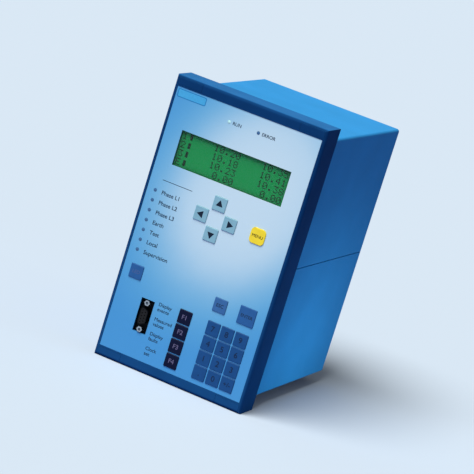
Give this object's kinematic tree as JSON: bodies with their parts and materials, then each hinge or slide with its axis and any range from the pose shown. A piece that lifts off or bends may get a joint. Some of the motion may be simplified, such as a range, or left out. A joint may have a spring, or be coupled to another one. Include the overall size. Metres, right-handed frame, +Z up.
{
  "type": "protection relay",
  "caption": "Flush-mounted protection relay: folded steel case behind the panel, moulded front with display, lamps, push keys, keypad and service port, barrier terminals at the rear.",
  "frame": {"origin": "middle of the four fixing slots, in the plane of the panel's front face", "axes": "+X to the right seen from the front, +Y back into the panel, +Z up"},
  "size_m": [0.15, 0.2212, 0.266],
  "materials": {
    "case_paint": "satin enamel",
    "rear_paint": "satin enamel",
    "zinc_plate": "zinc plated",
    "screw_steel": "nickel plated",
    "frame_plastic": "fine moulded texture",
    "foil_print": "printed polyester foil",
    "lens_clear": "clear acrylic",
    "display_green": "backlit liquid crystal",
    "carrier_plastic": "moulded",
    "lamp_lit": "clear, lit",
    "lamp_dark": "clear, unlit",
    "board_laminate": "solder resist",
    "switch_plastic": "moulded",
    "port_metal": "nickel plated sheet",
    "port_black": "moulded",
    "post_metal": "nickel plated",
    "terminal_plastic": "moulded",
    "component_black": "moulded",
    "battery_steel": "plain",
    "relay_plastic": "moulded",
    "guide_plastic": "moulded",
    "ribbon_grey": "flat cable",
    "key_pale": "moulded",
    "key_yellow": "moulded",
    "key_blue": "moulded",
    "key_mid": "moulded",
    "key_navy": "moulded"
  },
  "bodies": {
    "root": {"buffer_battery": "battery_steel", "card_guides": "guide_plastic", "corner_covers": "frame_plastic", "cpu_board": "board_laminate", "cpu_components": "component_black", "current_terminal_block": "terminal_plastic", "display_carrier": "carrier_plastic", "display_cell": "display_green", "display_lens": "lens_clear", "earth_terminal": "screw_steel", "error_lamp": "lamp_dark", "frame_screws": "screw_steel", "front_board": "board_laminate", "front_board_screws": "screw_steel", "front_foil": "foil_print", "front_frame": "frame_plastic", "input_transformers": "component_black", "io_board": "board_laminate", "key_switches": "switch_plastic", "lower_shell": "case_paint", "mounting_bracket_bottom": "zinc_plate", "mounting_bracket_top": "zinc_plate", "optical_ports": "post_metal", "output_relays": "relay_plastic", "port_insert": "port_black", "port_jackscrews": "post_metal", "port_shell": "port_metal", "rear_wall": "rear_paint", "rear_wall_screws": "screw_steel", "ribbon_cable": "ribbon_grey", "run_lamp": "lamp_lit", "signal_lamps": "lamp_dark", "signal_terminal_blocks": "terminal_plastic", "sync_port": "port_metal", "terminal_screws": "screw_steel", "upper_shell": "case_paint"},
    "key_0": {"key_0": "key_blue"},
    "key_1": {"key_1": "key_blue"},
    "key_2": {"key_2": "key_blue"},
    "key_3": {"key_3": "key_blue"},
    "key_4": {"key_4": "key_blue"},
    "key_5": {"key_5": "key_blue"},
    "key_6": {"key_6": "key_blue"},
    "key_7": {"key_7": "key_blue"},
    "key_8": {"key_8": "key_blue"},
    "key_9": {"key_9": "key_blue"},
    "key_dot": {"key_dot": "key_blue"},
    "key_down": {"key_down": "key_pale"},
    "key_enter": {"key_enter": "key_blue"},
    "key_esc": {"key_esc": "key_mid"},
    "key_f1": {"key_f1": "key_navy"},
    "key_f2": {"key_f2": "key_navy"},
    "key_f3": {"key_f3": "key_navy"},
    "key_f4": {"key_f4": "key_navy"},
    "key_led_reset": {"key_led_reset": "key_blue"},
    "key_left": {"key_left": "key_pale"},
    "key_menu": {"key_menu": "key_yellow"},
    "key_right": {"key_right": "key_pale"},
    "key_sign": {"key_sign": "key_blue"},
    "key_up": {"key_up": "key_pale"}
  },
  "joints": [
    {"name": "press_0", "type": "slide", "parent": "root", "child": "key_0", "axis": [0, 1, 0], "range_m": [0, 0.0006], "stiffness_N_per_m": 2000},
    {"name": "press_1", "type": "slide", "parent": "root", "child": "key_1", "axis": [0, 1, 0], "range_m": [0, 0.0006], "stiffness_N_per_m": 2000},
    {"name": "press_2", "type": "slide", "parent": "root", "child": "key_2", "axis": [0, 1, 0], "range_m": [0, 0.0006], "stiffness_N_per_m": 2000},
    {"name": "press_3", "type": "slide", "parent": "root", "child": "key_3", "axis": [0, 1, 0], "range_m": [0, 0.0006], "stiffness_N_per_m": 2000},
    {"name": "press_4", "type": "slide", "parent": "root", "child": "key_4", "axis": [0, 1, 0], "range_m": [0, 0.0006], "stiffness_N_per_m": 2000},
    {"name": "press_5", "type": "slide", "parent": "root", "child": "key_5", "axis": [0, 1, 0], "range_m": [0, 0.0006], "stiffness_N_per_m": 2000},
    {"name": "press_6", "type": "slide", "parent": "root", "child": "key_6", "axis": [0, 1, 0], "range_m": [0, 0.0006], "stiffness_N_per_m": 2000},
    {"name": "press_7", "type": "slide", "parent": "root", "child": "key_7", "axis": [0, 1, 0], "range_m": [0, 0.0006], "stiffness_N_per_m": 2000},
    {"name": "press_8", "type": "slide", "parent": "root", "child": "key_8", "axis": [0, 1, 0], "range_m": [0, 0.0006], "stiffness_N_per_m": 2000},
    {"name": "press_9", "type": "slide", "parent": "root", "child": "key_9", "axis": [0, 1, 0], "range_m": [0, 0.0006], "stiffness_N_per_m": 2000},
    {"name": "press_dot", "type": "slide", "parent": "root", "child": "key_dot", "axis": [0, 1, 0], "range_m": [0, 0.0006], "stiffness_N_per_m": 2000},
    {"name": "press_down", "type": "slide", "parent": "root", "child": "key_down", "axis": [0, 1, 0], "range_m": [0, 0.0006], "stiffness_N_per_m": 2000},
    {"name": "press_enter", "type": "slide", "parent": "root", "child": "key_enter", "axis": [0, 1, 0], "range_m": [0, 0.0006], "stiffness_N_per_m": 2000},
    {"name": "press_esc", "type": "slide", "parent": "root", "child": "key_esc", "axis": [0, 1, 0], "range_m": [0, 0.0006], "stiffness_N_per_m": 2000},
    {"name": "press_f1", "type": "slide", "parent": "root", "child": "key_f1", "axis": [0, 1, 0], "range_m": [0, 0.0006], "stiffness_N_per_m": 2000},
    {"name": "press_f2", "type": "slide", "parent": "root", "child": "key_f2", "axis": [0, 1, 0], "range_m": [0, 0.0006], "stiffness_N_per_m": 2000},
    {"name": "press_f3", "type": "slide", "parent": "root", "child": "key_f3", "axis": [0, 1, 0], "range_m": [0, 0.0006], "stiffness_N_per_m": 2000},
    {"name": "press_f4", "type": "slide", "parent": "root", "child": "key_f4", "axis": [0, 1, 0], "range_m": [0, 0.0006], "stiffness_N_per_m": 2000},
    {"name": "press_led_reset", "type": "slide", "parent": "root", "child": "key_led_reset", "axis": [0, 1, 0], "range_m": [0, 0.0006], "stiffness_N_per_m": 2000},
    {"name": "press_left", "type": "slide", "parent": "root", "child": "key_left", "axis": [0, 1, 0], "range_m": [0, 0.0006], "stiffness_N_per_m": 2000},
    {"name": "press_menu", "type": "slide", "parent": "root", "child": "key_menu", "axis": [0, 1, 0], "range_m": [0, 0.0006], "stiffness_N_per_m": 2000},
    {"name": "press_right", "type": "slide", "parent": "root", "child": "key_right", "axis": [0, 1, 0], "range_m": [0, 0.0006], "stiffness_N_per_m": 2000},
    {"name": "press_sign", "type": "slide", "parent": "root", "child": "key_sign", "axis": [0, 1, 0], "range_m": [0, 0.0006], "stiffness_N_per_m": 2000},
    {"name": "press_up", "type": "slide", "parent": "root", "child": "key_up", "axis": [0, 1, 0], "range_m": [0, 0.0006], "stiffness_N_per_m": 2000}
  ]
}
